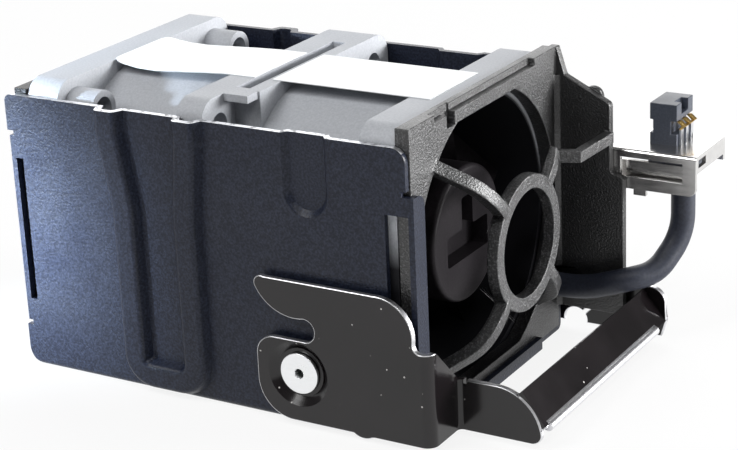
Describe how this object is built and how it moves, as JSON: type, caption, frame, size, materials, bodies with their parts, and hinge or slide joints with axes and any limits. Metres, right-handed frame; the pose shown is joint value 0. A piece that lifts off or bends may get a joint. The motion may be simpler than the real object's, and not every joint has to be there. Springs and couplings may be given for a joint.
{
  "type": "server fan module",
  "caption": "Two small axial fans in series in a folded sheet cage with a domed guard, a riveted release lever, and a sleeved lead to a connector on a bracket",
  "frame": {"origin": "on the cage's underside, below the middle of the fan pair", "axes": "+X along the fans' common axis towards the domed guard, +Z out of the cage's open side, +Y towards the side with the connector"},
  "size_m": [0.081, 0.054, 0.0411],
  "materials": {
    "cage_paint": "fine-textured dark blue-grey powder coat",
    "frame_plastic": "spark-eroded dark grey moulding",
    "fan_plastic": "satin black moulding",
    "impeller_plastic": "satin black moulding",
    "motor_steel": "plain steel",
    "magnet_rubber": "bonded magnet, matte",
    "shaft_steel": "ground bright",
    "sleeve_brass": "turned",
    "winding_copper": "enamelled copper wire",
    "board": "green solder mask",
    "label_film": "white satin film",
    "lever_paint": "gloss black-brown coat with bright cut edges",
    "rivet_steel": "bright plated",
    "bracket_nickel": "bright nickel plate",
    "connector_plastic": "black moulding",
    "contact_metal": "gold plate",
    "lead_sleeving": "matte black sleeving",
    "lead_insulation": "matte black insulation"
  },
  "bodies": {
    "housing": {"cage": "cage_paint", "front_frame": "frame_plastic", "rear_frame": "frame_plastic", "front_fan_frame": "fan_plastic", "rear_fan_frame": "fan_plastic", "front_bearing_outer_rings": "shaft_steel", "rear_bearing_outer_rings": "shaft_steel", "front_bearing_sleeve": "sleeve_brass", "rear_bearing_sleeve": "sleeve_brass", "front_stator_core": "motor_steel", "rear_stator_core": "motor_steel", "front_windings": "winding_copper", "rear_windings": "winding_copper", "front_circuit_board": "board", "rear_circuit_board": "board", "front_label": "label_film", "rear_label": "label_film", "lever_rivets": "rivet_steel", "connector_bracket": "bracket_nickel", "bracket_rivets": "rivet_steel", "connector_housing": "connector_plastic", "connector_contacts": "contact_metal", "lead_sleeve": "lead_sleeving", "front_fan_leads": "lead_insulation", "rear_fan_leads": "lead_insulation"},
    "front_rotor": {"front_impeller": "impeller_plastic", "front_rotor_cup": "motor_steel", "front_magnet_ring": "magnet_rubber", "front_shaft": "shaft_steel", "front_retaining_clip": "shaft_steel", "front_preload_washer": "shaft_steel", "front_bearing_inner_rings": "shaft_steel"},
    "rear_rotor": {"rear_impeller": "impeller_plastic", "rear_rotor_cup": "motor_steel", "rear_magnet_ring": "magnet_rubber", "rear_shaft": "shaft_steel", "rear_retaining_clip": "shaft_steel", "rear_preload_washer": "shaft_steel", "rear_bearing_inner_rings": "shaft_steel"},
    "lever": {"release_lever": "lever_paint"}
  },
  "joints": [
    {"name": "front_rotor_spin", "type": "hinge", "parent": "housing", "child": "front_rotor", "pos_m": [0, 0, 0.0208], "axis": [1, 0, 0], "continuous": true},
    {"name": "rear_rotor_spin", "type": "hinge", "parent": "housing", "child": "rear_rotor", "pos_m": [0, 0, 0.0208], "axis": [-1, 0, 0], "continuous": true},
    {"name": "lever_hinge", "type": "hinge", "parent": "housing", "child": "lever", "pos_m": [0.0141, 0, 0.0075], "axis": [0, 1, 0], "range_deg": [0, 90]}
  ]
}
